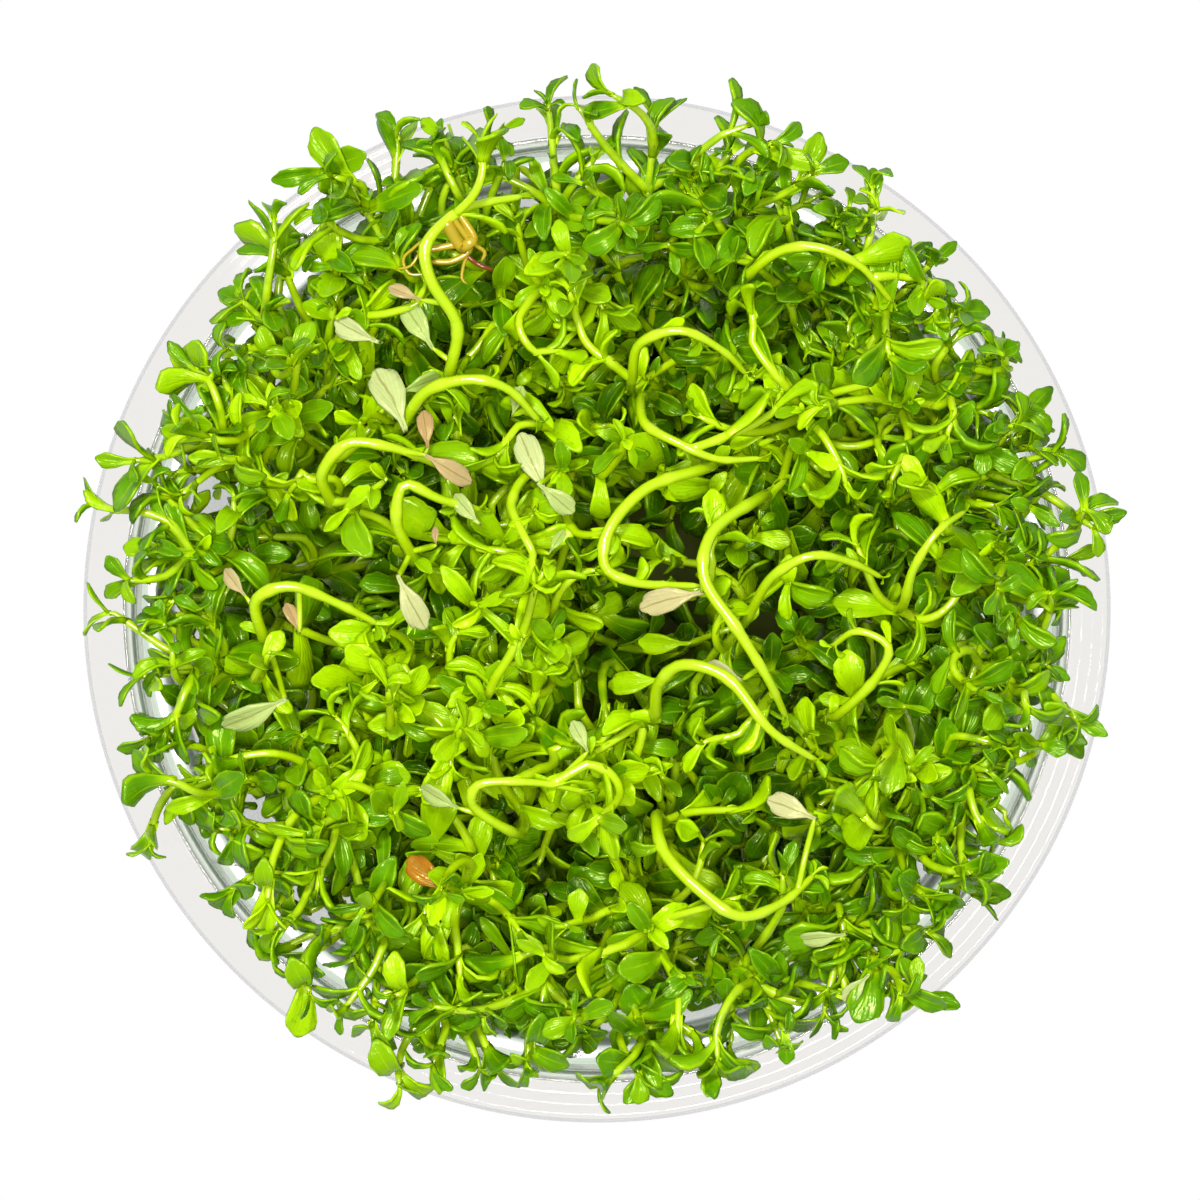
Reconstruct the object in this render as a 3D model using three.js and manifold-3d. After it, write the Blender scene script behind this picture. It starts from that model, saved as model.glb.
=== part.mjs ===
// A clear round cup of dwarf rotala grown on nutrient gel, seen without its lid.
// Millimetres, +Z up. The origin is the middle of the cup's flat underside.
// The cup is one thin moulded wall with a stepped rim. A disc of gel lies in it, and every
// shoot stands in a socket of its own in that gel. A shoot is one stem with its opposite
// pairs of leaves, so it is one solid. The outer shoots lean over the rim, the runners arch
// over the middle, and the inner shoots stand up between them.
import * as THREE from "three";
import { ConvexGeometry } from "three/addons/geometries/ConvexGeometry.js";
import { mergeVertices } from "three/addons/utils/BufferGeometryUtils.js";
import Module from "manifold-3d";

const wasm = await Module();
wasm.setup();

// Cup: the body tapers out from the base to a ledge, then a neck and a flat lip.
const rimRadius = 50;
const rimHeight = 60;
const wall = 0.8;
const baseRadius = 38;
const baseCorner = 3;
const bodyTopRadius = 43;
const ledgeHeight = 51.5;
const neckRadius = 45.9;
const beadWidth = 0.5;
const lipSlope = 1.2;
const lipDrop = 3.4;
const cupSegments = 30;

// Gel
const gelTop = 12;
const gelGap = 0.3;
const socketDepth = 3;
const socketRadius = 1.9;
const socketSides = 3;

// Stems
const plantedRadius = 33;
const footPlaces = 84;
const goldenAngle = Math.PI * (3 - Math.sqrt(5));
const stemRadius = 0.66;
const keepApart = 0.2;
const lowBend = { height: 28, share: 0.1 };
const highBend = { height: 47, share: 0.5 };
const internodes = [3, 3.6, 4.4, 5];
const nodeShare = 0.75;
const archStep = 6;
const riserStep = 30;

// Leaves
const leafLength = 9;
const leafWidth = 4.6;
const leafThickness = 0.9;
const widestAt = 0.6;
const tipLean = 52;
const leanPerPair = 12;
const leastLean = 16;
const pairsOnRunner = 4;
const pairsOnShoot = 4;

// Tips of the shoots that lean over the rim: bearing in degrees, distance from the axis, height.
const rimTips = [
  [95.5, 48.9, 66], [83, 47.8, 66], [70, 44.8, 65], [58, 44.2, 64.5], [46, 46.5, 66.5],
  [33, 46.5, 65], [19, 46.9, 66], [6, 42.5, 64.5], [352, 43.2, 64.5], [336.5, 42.3, 64],
  [323, 42.6, 65], [308, 46.5, 65.5], [293, 45.7, 64.5], [276, 45.3, 65], [262, 40.3, 63.5],
  [248, 44.8, 65], [234, 40.4, 64], [219, 39, 64], [204, 43.5, 65.5], [188, 42.4, 64.5],
  [172, 42.7, 65.5], [155, 42.9, 65.5], [139, 45.8, 65.5], [120, 48.2, 66], [108, 48.1, 66],
];

// Tips of the inner shoots: x, y and height.
const innerTips = [
  [-9, 6.5, 67], [-4, -3, 65.5], [-11, -9, 66], [1, -16, 65], [-19, -9, 66], [-26, -18, 66],
  [-13, -27, 65.5], [5, -31, 65.5], [28, -16, 66.5], [20, 19, 67], [30, 20, 66], [-5, 31, 67],
  [-25, 28, 66.5], [-31, 19, 66], [-3.5, 13.5, 67],
];

// Runners arch over the canopy. Each lists the points that its stem passes, from where it
// comes up through the leaves to its tip.
const runners = {
  runner_hook: [
    [-14.2, 22.6, 66], [-13.4, 27.2, 70], [-15.9, 31.5, 72.5], [-16.3, 34.6, 73],
    [-13, 38, 72], [-7, 39.6, 69],
  ],
  runner_west_bridge: [
    [-18.6, 18, 66], [-16, 21, 70.5], [-11.5, 21.9, 72], [-8.5, 21, 71], [-5.5, 18, 68],
  ],
  runner_centre_bow: [
    [10.5, 13.6, 66], [4.5, 11.4, 70], [1, 7.2, 71.5], [0.8, 4, 71.5], [3.5, 2.6, 71],
    [10, 2.2, 69],
  ],
  runner_long: [
    [15.5, 10.6, 67], [10.8, 7, 72.5], [10.2, 3, 74], [13.4, -2, 74], [16.2, -6.5, 72.5],
    [18.2, -10.5, 68.5],
  ],
  runner_south_arch: [
    [5.6, -10.2, 65], [6, -7, 70], [8.2, -5.3, 72.5], [12.2, -6.4, 73.5],
    [16.5, -11.5, 73], [21, -14.5, 70.5],
  ],
  runner_east_bow: [
    [14.6, -0.8, 64], [17, 3.3, 70.5], [20.5, 5.1, 72], [24, 4.6, 70], [27.5, 3, 67],
  ],
  runner_crescent: [
    [5.7, -20.4, 66], [6.4, -23.2, 69.5], [10, -27, 71.5], [13.6, -29.3, 71.5],
    [17.8, -28.1, 69], [21, -25.5, 66],
  ],
  runner_pale: [[29.6, 0.5, 65], [30.4, 4, 69], [32.6, 7.4, 70], [35.5, 9.5, 67]],
  runner_north_arch: [
    [14.7, 32.3, 66], [17.8, 34.4, 69.5], [21, 34.6, 70.5], [25, 33, 69.5], [28.5, 29.5, 66],
  ],
  runner_small_arch: [
    [3.4, 22.4, 65], [4.2, 25.5, 69.5], [8, 26.6, 71], [12, 24.8, 69], [14.5, 22.5, 66],
  ],
  runner_middle: [
    [4.2, 20, 64], [4.8, 17.6, 68], [8, 15.8, 69.5], [11.5, 14.4, 69], [16, 14.5, 67],
  ],
  runner_west_arch: [
    [-25.6, 10.3, 66], [-26.3, 13, 70], [-23.8, 15.8, 71.5], [-19.5, 15.4, 71],
    [-14.5, 13.5, 67.5],
  ],
  runner_west_hook: [
    [-17.9, 5.3, 66], [-19.2, 8.6, 70], [-18.4, 11.9, 71], [-15.2, 10.6, 70],
    [-11, 9.5, 66.5],
  ],
  runner_low_west: [
    [-32.2, -2.6, 65], [-32.6, 1, 69], [-29.5, 2.2, 70], [-25, 0.6, 68.5], [-21, -1.5, 66],
  ],
  runner_south_west: [
    [-8, -21.6, 65], [-12, -18.6, 69], [-11.5, -16.9, 70], [-6, -16.6, 69.5], [-1, -17.6, 67],
  ],
  runner_east_hook: [
    [23.3, -10.2, 64], [26.9, -6.4, 68.5], [27.9, -3.6, 70], [25, -2.1, 70],
    [22.5, -3.6, 67.5],
  ],
};

// A closed geometry as a solid, and a solid as a geometry.
function solidOf(geometry) {
  geometry.deleteAttribute("normal");
  geometry.deleteAttribute("uv");
  const merged = mergeVertices(geometry, 1e-4);
  return new wasm.Manifold(
    new wasm.Mesh({
      numProp: 3,
      vertProperties: new Float32Array(merged.attributes.position.array),
      triVerts: new Uint32Array(merged.index.array),
    }),
  );
}

function geometryOf(solid) {
  const { vertProperties, triVerts } = solid.getMesh();
  const geometry = new THREE.BufferGeometry();
  geometry.setAttribute("position", new THREE.BufferAttribute(vertProperties, 3));
  geometry.setIndex(new THREE.BufferAttribute(triVerts, 1));
  geometry.computeVertexNormals();
  return geometry;
}

// A section of [radius, height] points turned round the Z axis.
function turned(section, segments) {
  const profile = section.map(([radius, height]) => new THREE.Vector2(radius, height));
  return solidOf(new THREE.LatheGeometry(profile, segments).rotateX(Math.PI / 2));
}

// What stands so far, by name. A solid is clear when it cuts none but its own.
const standing = new Map();
function isClear(solid, ownName) {
  return [...standing].every(
    ([name, other]) => name === ownName || solid.intersect(other).volume() < 1e-6,
  );
}

// Outside radius of the cup's body at a height.
const bodyRadius = (height) =>
  THREE.MathUtils.mapLinear(height, baseCorner, ledgeHeight, baseRadius, bodyTopRadius);

// The cup's section goes up the outside, over the lip and back down the inside.
function cupSolid() {
  const lipEdge = rimHeight - lipSlope;
  const section = [
    [0, 0],
    [baseRadius - baseCorner, 0],
    [baseRadius, baseCorner],
    [bodyTopRadius, ledgeHeight],
    [neckRadius, ledgeHeight],
    [neckRadius + beadWidth, rimHeight - wall],
    [rimRadius - wall, lipEdge - wall],
    [rimRadius - wall, rimHeight - lipDrop],
    [rimRadius, rimHeight - lipDrop],
    [rimRadius, lipEdge],
    [neckRadius + beadWidth, rimHeight],
    [neckRadius - wall, rimHeight - 0.5 * beadWidth],
    [neckRadius - wall, ledgeHeight + wall],
    [bodyTopRadius - wall, ledgeHeight + wall],
    [baseRadius - wall, baseCorner + wall],
    [baseRadius - baseCorner - wall, wall],
    [0, wall],
  ];
  return turned(section, cupSegments);
}

// The gel fills the bottom of the cup, with a socket for every shoot.
function gelSolid(feet) {
  const floor = wall + gelGap;
  const inner = wall + gelGap;
  const section = [
    [0, floor],
    [baseRadius - baseCorner - inner, floor],
    [baseRadius - inner, baseCorner + inner],
    [bodyRadius(gelTop) - inner, gelTop],
    [0, gelTop],
  ];
  let gel = turned(section, cupSegments);
  for (const foot of feet) {
    const depth = 2 * socketDepth;
    const hole = new THREE.CylinderGeometry(socketRadius, socketRadius, depth, socketSides);
    hole.rotateX(Math.PI / 2).translate(foot.x, foot.y, gelTop);
    gel = gel.subtract(solidOf(hole));
  }
  return gel;
}

// Feet on a sunflower spiral keep one spacing over the whole bed of gel.
function sunflower(index) {
  const radius = plantedRadius * Math.sqrt((index + 0.5) / footPlaces);
  const bearing = index * goldenAngle;
  return new THREE.Vector2(radius * Math.cos(bearing), radius * Math.sin(bearing));
}

// A stem follows a smooth curve in straight lengths: one for each leaf pair, then longer
// ones down the arch and the riser. Rings are the points where the lengths meet.
class StemPath extends THREE.Curve {
  constructor(riser, arch) {
    super();
    const curve = new THREE.CatmullRomCurve3([...riser, ...arch], false, "centripetal");
    const length = curve.getLength();
    const archLength = new THREE.CatmullRomCurve3(arch).getLength() + archStep;
    const distances = [0];
    while (distances.at(-1) < length) {
      const last = distances.at(-1);
      const step =
        internodes[distances.length - 1] ?? (last < archLength ? archStep : riserStep);
      distances.push(last + step < length - riserStep / 2 ? last + step : length);
    }
    this.rings = distances.map((back) => curve.getPointAt(1 - back / length)).reverse();
  }

  getPoint(t) {
    const ring = t * (this.rings.length - 1);
    const before = Math.min(Math.floor(ring), this.rings.length - 2);
    return this.rings[before].clone().lerp(this.rings[before + 1], ring - before);
  }

  getUtoTmapping(u) {
    return u;
  }
}

// The stem is square in section, turned so that its leaves leave its flat sides.
function stemSolid(path, twist, radius) {
  const corners = [45, 135, 225, 315].map((degrees) => {
    const angle = twist + THREE.MathUtils.degToRad(degrees);
    return new THREE.Vector2(radius * Math.cos(angle), radius * Math.sin(angle));
  });
  const steps = path.rings.length - 1;
  const section = new THREE.Shape(corners);
  return solidOf(new THREE.ExtrudeGeometry(section, { steps, extrudePath: path }));
}

// Each stem takes the nearest free foot from which it passes clear of all that stands.
const freeFeet = Array.from({ length: footPlaces }, (_, index) => sunflower(index));
const usedFeet = [];
const shoots = [];
function plant(name, points, pairs, material) {
  const twist = shoots.length * goldenAngle;
  const over = new THREE.Vector2(points[0].x, points[0].y);
  freeFeet.sort((a, b) => a.distanceTo(over) - b.distanceTo(over));
  for (const [index, foot] of freeFeet.entries()) {
    const bends = [lowBend, highBend].map(({ height, share }) => {
      const bend = new THREE.Vector3(foot.x, foot.y, height).lerp(points[0], share);
      return bend.setZ(height);
    });
    const base = new THREE.Vector3(foot.x, foot.y, gelTop - socketDepth + gelGap);
    const path = new StemPath([base, ...bends], points);
    if (isClear(stemSolid(path, twist, stemRadius + keepApart), name)) {
      usedFeet.push(...freeFeet.splice(index, 1));
      standing.set(name, stemSolid(path, twist, stemRadius));
      shoots.push({ name, path, twist, pairs, material });
      return;
    }
  }
  throw new Error("no free foot suits " + name);
}

// A leaf is a lozenge, keeled below from its stalk to its tip.
function leafSolid(stalk, along, up, size) {
  const at = (share, aside, rise) =>
    stalk
      .clone()
      .addScaledVector(along, share * size * leafLength)
      .addScaledVector(across, (aside * size * leafWidth) / 2)
      .addScaledVector(up, rise * leafThickness);
  const across = new THREE.Vector3().crossVectors(along, up);
  return solidOf(
    new ConvexGeometry([at(0, 0, 0), at(widestAt, -1, 1), at(widestAt, 1, 1), at(1, 0, 0)]),
  );
}

// Size of a leaf pair and its lean towards the tip, counting pairs from the tip.
const pairSize = (pair) => Math.min(1, 0.6 + 0.2 * pair);
const pairLean = (pair) =>
  THREE.MathUtils.degToRad(Math.max(leastLean, tipLean - leanPerPair * pair));

// Leaves grow in crossed pairs, and one that would cut another shoot is left out.
function growLeaves({ name, path, twist, pairs }) {
  const steps = path.rings.length - 1;
  const frames = path.computeFrenetFrames(steps, false);
  for (let pair = 0; pair < pairs; pair += 1) {
    const ring = steps - pair;
    const atNode = (vectors) => vectors[ring - 1].clone().lerp(vectors[ring], nodeShare);
    const node = atNode(path.rings);
    const tangent = path.rings[ring].clone().sub(path.rings[ring - 1]).normalize();
    const normal = atNode(frames.normals);
    const binormal = atNode(frames.binormals);
    const lean = pairLean(pair);
    for (const half of [0, Math.PI]) {
      const bearing = twist + (pair * Math.PI) / 2 + half;
      const out = normal.clone().multiplyScalar(Math.cos(bearing));
      out.addScaledVector(binormal, Math.sin(bearing)).normalize();
      const along = out.clone().multiplyScalar(Math.cos(lean));
      along.addScaledVector(tangent, Math.sin(lean)).normalize();
      const up = tangent.clone().addScaledVector(along, -tangent.dot(along)).normalize();
      const leaf = leafSolid(node, along, up, pairSize(pair));
      if (isClear(leaf, name)) standing.set(name, standing.get(name).add(leaf));
    }
  }
}

const plain = (name, color, roughness) =>
  new THREE.MeshStandardMaterial({ name, color, roughness, metalness: 0 });
const clearPlastic = plain("clear_plastic", 0xf2f5f4, 0.08);
clearPlastic.transparent = true;
clearPlastic.opacity = 0.3;
const paleGel = plain("pale_gel", 0xe9eccb, 0.15);
const rimGreen = plain("rim_green", 0x5c9a12, 0.35);
const innerGreen = plain("inner_green", 0x6fae17, 0.35);
const runnerLime = plain("runner_lime", 0xa8d628, 0.3);

standing.set("cup", cupSolid());
for (const [name, points] of Object.entries(runners)) {
  const arch = points.map((point) => new THREE.Vector3(...point));
  plant(name, arch, pairsOnRunner, runnerLime);
}
rimTips.forEach(([bearing, reach, height], index) => {
  const angle = THREE.MathUtils.degToRad(bearing);
  const at = (radius, z) =>
    new THREE.Vector3(radius * Math.cos(angle), radius * Math.sin(angle), z);
  const name = "rim_shoot_" + String(index + 1).padStart(2, "0");
  plant(name, [at(Math.min(reach - 4, 40), 62), at(reach, height)], pairsOnShoot, rimGreen);
});
innerTips.forEach(([x, y, height], index) => {
  const name = "inner_shoot_" + String(index + 1).padStart(2, "0");
  const points = [new THREE.Vector3(x, y, height - 6), new THREE.Vector3(x, y, height)];
  plant(name, points, pairsOnShoot, innerGreen);
});
shoots.forEach(growLeaves);

const part = new THREE.Group();
function add(name, solid, material) {
  const mesh = new THREE.Mesh(geometryOf(solid), material);
  mesh.name = name;
  part.add(mesh);
}
add("cup", standing.get("cup"), clearPlastic);
add("gel", gelSolid(usedFeet), paleGel);
shoots.forEach(({ name, material }) => add(name, standing.get(name), material));

export default part;
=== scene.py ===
"""A clear cup packed with dwarf rotala, its lid off, seen from straight above."""

import math
import random

import bmesh
import bpy
import numpy as np
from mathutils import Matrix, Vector


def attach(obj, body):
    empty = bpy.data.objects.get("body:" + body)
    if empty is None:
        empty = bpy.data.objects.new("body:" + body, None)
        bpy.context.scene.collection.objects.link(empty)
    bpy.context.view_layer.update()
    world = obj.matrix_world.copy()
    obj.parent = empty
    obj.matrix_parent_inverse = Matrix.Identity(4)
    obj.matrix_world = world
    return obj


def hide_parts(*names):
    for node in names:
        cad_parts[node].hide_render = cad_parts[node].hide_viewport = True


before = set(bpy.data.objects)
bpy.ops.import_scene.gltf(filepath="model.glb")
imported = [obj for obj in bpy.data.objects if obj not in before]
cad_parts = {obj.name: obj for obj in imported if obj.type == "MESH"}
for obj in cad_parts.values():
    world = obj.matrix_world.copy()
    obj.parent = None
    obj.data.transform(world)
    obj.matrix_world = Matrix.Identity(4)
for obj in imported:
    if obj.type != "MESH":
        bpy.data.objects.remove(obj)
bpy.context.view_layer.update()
MM = 0.001


# The cup. One thin wall of clear plastic, moulded in one shot: a flat base, a body that
# widens upwards, a ledge, a short neck and a flat lip with a turned-down edge. It stands
# on its base with its lid off, and fine rings from the mould show on its lip.
CUP_HEIGHT = 60 * MM
WALL = 0.8 * MM
BASE_RADIUS = 38 * MM
BASE_CORNER = 3 * MM
BODY_TOP_RADIUS = 43 * MM
LEDGE_HEIGHT = 51.5 * MM
NECK_RADIUS = 45.6 * MM
BEAD_WIDTH = 0.5 * MM
LIP_RADIUS = 50.1 * MM
LIP_SLOPE = 1.2 * MM
LIP_DROP = 3.4 * MM
SKIRT = 0.22 * MM
CUP_STEPS = 256
ARC_SHARES = (0, 0.25, 0.5, 0.75, 1)
TOUCHING = 0.001 * MM
RING_PLACES = (0.2, 0.45, 0.72)
RING_HALF_WIDTH = 0.2 * MM
RING_HEIGHT = 0.03 * MM
CLEAR = (0.93, 0.945, 0.935, 1)
# Painted light on the cup: shade on ledge, lip and edge, shoots' reflections on neck and corner,
# bead highlight.
LEDGE_PAINTED_SHADE = (0.79, 0.78, 0.74, 1)
NECK_PAINTED_REFLECTION = (0.66, 0.77, 0.64, 1)
BEAD_PAINTED_HIGHLIGHT = (0.98, 0.98, 0.90, 1)
LIP_PAINTED_SHADE = (0.87, 0.855, 0.83, 1)
EDGE_PAINTED_SHADE = (0.78, 0.78, 0.80, 1)
CORNER_PAINTED_REFLECTION = (0.66, 0.76, 0.66, 1)
RIPPLE_SCALE = 50.0


class Shade:
    """One output of a material's nodes. Sums on it add the nodes that work them out."""

    def __init__(self, tree, socket=None):
        self.tree = tree
        self.socket = socket

    def node(self, kind, settings=None, inputs=None, output=0):
        made = self.tree.nodes.new(kind)
        for name, value in (settings or {}).items():
            setattr(made, name, value)
        for key, value in (inputs or {}).items():
            if isinstance(value, Shade):
                self.tree.links.new(value.socket, made.inputs[key])
            else:
                made.inputs[key].default_value = value
        return Shade(self.tree, made.outputs[output])

    def maths(self, operation, *values):
        return self.node("ShaderNodeMath", {"operation": operation}, dict(enumerate(values)))

    def __add__(self, other):
        return self.maths("ADD", self, other)

    def __sub__(self, other):
        return self.maths("SUBTRACT", self, other)

    def __rsub__(self, other):
        return self.maths("SUBTRACT", other, self)

    def __mul__(self, other):
        return self.maths("MULTIPLY", self, other)

    __radd__ = __add__

    def absolute(self):
        return self.maths("ABSOLUTE", self)

    def step(self, low, high):
        """0 below low and 1 above high, with a smooth change between."""
        settings = {"interpolation_type": "SMOOTHSTEP"}
        return self.node("ShaderNodeMapRange", settings, {0: self, 1: low, 2: high})

    def mix(self, first, second):
        """The colour between two, first where this value is 0."""
        inputs = {0: self, 6: first, 7: second}
        return self.node("ShaderNodeMix", {"data_type": "RGBA"}, inputs, output=2)

    def noise(self, place, scale, detail=2.0):
        inputs = {"Vector": place, "Scale": scale, "Detail": detail}
        return self.node("ShaderNodeTexNoise", None, inputs)

    def bump(self, height, strength, distance):
        inputs = {"Height": height, "Strength": strength, "Distance": distance}
        return self.node("ShaderNodeBump", None, inputs)

    def object_place(self):
        return self.node("ShaderNodeTexCoord", output=3)

    def attribute(self, name, output):
        """A value stored on the mesh's points: output 1 of a vector, 2 of a number."""
        return self.node("ShaderNodeAttribute", {"attribute_name": name}, output=output)

    def part(self, axis):
        """One of the three numbers of a vector."""
        return self.node("ShaderNodeSeparateXYZ", None, {0: self}, output=axis)


def new_material(name, **surface):
    """A material with its constants set on its surface shader, and a start for its nodes."""
    material = bpy.data.materials.new(name)
    material.use_nodes = True
    principled = material.node_tree.nodes["Principled BSDF"]
    for socket, value in surface.items():
        principled.inputs[socket.replace("_", " ")].default_value = value
    return material, Shade(material.node_tree)


def drive(material, **sockets):
    """Links sockets of the material's surface shader to the outputs that work them out."""
    principled = material.node_tree.nodes["Principled BSDF"]
    for socket, shade in sockets.items():
        material.node_tree.links.new(shade.socket, principled.inputs[socket.replace("_", " ")])


def place_piece(name, mesh, materials, nodes=()):
    """Shows a mesh as a piece of the object, in place of the solids that it stands for."""
    piece = bpy.data.objects.new(name, mesh)
    bpy.context.scene.collection.objects.link(piece)
    for material in materials:
        mesh.materials.append(material)
    for polygon in mesh.polygons:
        polygon.use_smooth = True
    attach(piece, "root")
    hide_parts(*nodes)


def rounded(corners):
    """Profile points from (radius, height, arc) corners, with a small arc where one is given."""
    smooth = []
    for index, (radius, height, arc) in enumerate(corners):
        if not arc:
            smooth.append((radius, height))
            continue
        point = Vector((radius, height))
        before = (Vector(corners[index - 1][:2]) - point).normalized()
        after = (Vector(corners[index + 1][:2]) - point).normalized()
        for share in ARC_SHARES:
            ahead, behind = share * share, (1 - share) ** 2
            smooth.append(tuple(point + before * arc * behind + after * arc * ahead))
    return smooth


def turned(profile, steps):
    """A closed mesh from a profile of (radius, height) points turned about the Z axis."""
    bm = bmesh.new()
    points = [bm.verts.new((radius, 0, height)) for radius, height in profile]
    edges = [bm.edges.new(pair) for pair in zip(points, points[1:])]
    bmesh.ops.spin(
        bm, geom=points + edges, cent=(0, 0, 0), axis=(0, 0, 1), angle=math.tau,
        steps=steps, use_merge=True,
    )
    bmesh.ops.remove_doubles(bm, verts=bm.verts, dist=TOUCHING)
    bmesh.ops.recalc_face_normals(bm, faces=bm.faces)
    mesh = bpy.data.meshes.new("turned")
    bm.to_mesh(mesh)
    bm.free()
    return mesh


def inner_radius(height):
    """Radius of the inside of the cup's body at a height, below the ledge."""
    share = (height - BASE_CORNER) / (LEDGE_HEIGHT - BASE_CORNER)
    return BASE_RADIUS + share * (BODY_TOP_RADIUS - BASE_RADIUS) - WALL


lip_edge = CUP_HEIGHT - LIP_SLOPE
lip_inside = NECK_RADIUS + BEAD_WIDTH
lip_rings = []
for share in RING_PLACES:
    radius = LIP_RADIUS + share * (lip_inside - LIP_RADIUS)
    height = lip_edge + share * LIP_SLOPE
    lip_rings += [
        (radius + RING_HALF_WIDTH, height, 0),
        (radius, height + RING_HEIGHT, 0),
        (radius - RING_HALF_WIDTH, height, 0),
    ]
cup_profile = [
    (0, 0, 0),
    (BASE_RADIUS - BASE_CORNER, 0, 1.2 * MM),
    (BASE_RADIUS, BASE_CORNER, 1.2 * MM),
    (BODY_TOP_RADIUS, LEDGE_HEIGHT, 0.5 * MM),
    (NECK_RADIUS, LEDGE_HEIGHT, 0.35 * MM),
    (lip_inside, CUP_HEIGHT - WALL, 0.2 * MM),
    (LIP_RADIUS - SKIRT, lip_edge - WALL, 0.3 * MM),
    (LIP_RADIUS - SKIRT, CUP_HEIGHT - LIP_DROP, 0.08 * MM),
    (LIP_RADIUS, CUP_HEIGHT - LIP_DROP, 0.08 * MM),
    (LIP_RADIUS, lip_edge, 0.2 * MM),
    *lip_rings,
    (lip_inside, CUP_HEIGHT, 0.2 * MM),
    (NECK_RADIUS - WALL, CUP_HEIGHT - 0.5 * BEAD_WIDTH, 0.3 * MM),
    (NECK_RADIUS - WALL, LEDGE_HEIGHT + WALL, 0.6 * MM),
    (BODY_TOP_RADIUS - WALL, LEDGE_HEIGHT + WALL, 0.5 * MM),
    (BASE_RADIUS - WALL, BASE_CORNER + WALL, 1.2 * MM),
    (BASE_RADIUS - BASE_CORNER - WALL, WALL, 1.2 * MM),
    (0, WALL, 0),
]
clear_plastic, shade = new_material(
    "clear_plastic", Base_Color=CLEAR, Roughness=0.05, IOR=1.3, Transmission_Weight=1.0,
)
place = shade.object_place()
sideways = place.node("ShaderNodeVectorMath", {"operation": "MULTIPLY"}, {0: place, 1: (1, 1, 0)})
radius = sideways.node("ShaderNodeVectorMath", {"operation": "LENGTH"}, {0: sideways}, output=1)
height = place.part(2)
in_neck = radius.step(NECK_RADIUS - 2 * WALL, NECK_RADIUS - 1.2 * WALL)
on_bead = radius.step(NECK_RADIUS - 0.4 * MM, NECK_RADIUS)
on_lip = radius.step(lip_inside - 0.2 * MM, lip_inside + 0.1 * MM)
on_edge = radius.step(LIP_RADIUS - SKIRT - 0.1 * MM, LIP_RADIUS - SKIRT)
above = height.step(LEDGE_HEIGHT - 4 * MM, LEDGE_HEIGHT - 1 * MM)
corner = above * (1 - radius.step(BODY_TOP_RADIUS, BODY_TOP_RADIUS + 0.8 * MM))
on_ledge = height.step(LEDGE_HEIGHT - 1 * MM, LEDGE_HEIGHT)
# Painted onto the clear plastic: shade, reflections of the green shoots, and a highlight on the
# bead.
painted_shading = on_ledge.mix(CLEAR, LEDGE_PAINTED_SHADE)
painted_shading = in_neck.mix(painted_shading, NECK_PAINTED_REFLECTION)
painted_shading = on_bead.mix(painted_shading, BEAD_PAINTED_HIGHLIGHT)
painted_shading = on_lip.mix(painted_shading, LIP_PAINTED_SHADE)
painted_shading = on_edge.mix(painted_shading, EDGE_PAINTED_SHADE)
painted_shading = corner.mix(painted_shading, CORNER_PAINTED_REFLECTION)
ripple = shade.noise(place, RIPPLE_SCALE, 1.0)
drive(
    clear_plastic, Base_Color=painted_shading, Roughness=0.05 + corner * 0.4 + (in_neck - on_bead) * 0.2,
    Normal=shade.bump(ripple, 0.1, 0.3 * MM),
)
cup_mesh = turned(rounded(cup_profile), CUP_STEPS)
place_piece("clear_cup", cup_mesh, [clear_plastic], ["cup"])


# The nutrient gel. A pale, slightly cloudy jelly that was poured into the cup and set, so it
# fits the base and climbs a little up the wall. The shoots grow from it. Its top is painted
# near-black: mostly painted shade from the dense shoots above, partly their fine roots.
GEL_TOP = 12 * MM
GEL_GAP = 0.3 * MM
GEL_CORNER = 1 * MM
GEL_STEPS = 96
MENISCUS = 0.5 * MM
MENISCUS_WIDTH = 4 * MM
ROOTS_AND_SHADE_DEPTH = 2.5 * MM
PALE_GEL = (0.44, 0.46, 0.22, 1)
CLOUDY_GEL = (0.60, 0.61, 0.36, 1)
ROOTS_AND_SHADE_GEL = (0.08, 0.10, 0.012, 1)
CLOUD_SCALE = 140.0

gel_inset = WALL + GEL_GAP
gel_radius = inner_radius(GEL_TOP)
gel_profile = [
    (0, gel_inset, 0),
    (BASE_RADIUS - BASE_CORNER - gel_inset, gel_inset, GEL_CORNER),
    (BASE_RADIUS - gel_inset, BASE_CORNER + gel_inset, GEL_CORNER),
    (gel_radius - GEL_GAP, GEL_TOP, 0),
    (gel_radius - 0.4 * MENISCUS_WIDTH, GEL_TOP - 0.7 * MENISCUS, 0),
    (gel_radius - MENISCUS_WIDTH, GEL_TOP - MENISCUS, 0),
    (0, GEL_TOP - MENISCUS, 0),
]
pale_gel, shade = new_material(
    "pale_gel", Roughness=0.6, IOR=1.34, Transmission_Weight=0.12, Specular_IOR_Level=0.05,
)
place = shade.object_place()
cloud = shade.noise(place, CLOUD_SCALE, 3.0)
height = place.part(2)
gel_colour = cloud.mix(PALE_GEL, CLOUDY_GEL)
# Painted shade, with a little of the roots: the gel darkens towards its top.
roots_and_shade = (height + cloud * 2 * MM).step(GEL_TOP - ROOTS_AND_SHADE_DEPTH, GEL_TOP + 0.3 * MM)
gel_colour = roots_and_shade.mix(gel_colour, ROOTS_AND_SHADE_GEL)
drive(pale_gel, Base_Color=gel_colour, Normal=shade.bump(cloud, 0.2, 0.3 * MM))
gel_mesh = turned(rounded(gel_profile), GEL_STEPS)
place_piece("nutrient_gel", gel_mesh, [pale_gel], ["gel"])


# The shoots. Each grew as one piece: a juicy stem with crossed pairs of spoon-shaped leaves,
# and side shoots out of the leaf axils. A leaf runs down into the stem in a pale stalk,
# bends outwards and is channelled along its midrib.
GOLDEN_ANGLE = math.pi * (3 - math.sqrt(5))
CANOPY_TOP = 82.3 * MM
FRINGE_REACH = 50 * MM

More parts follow.
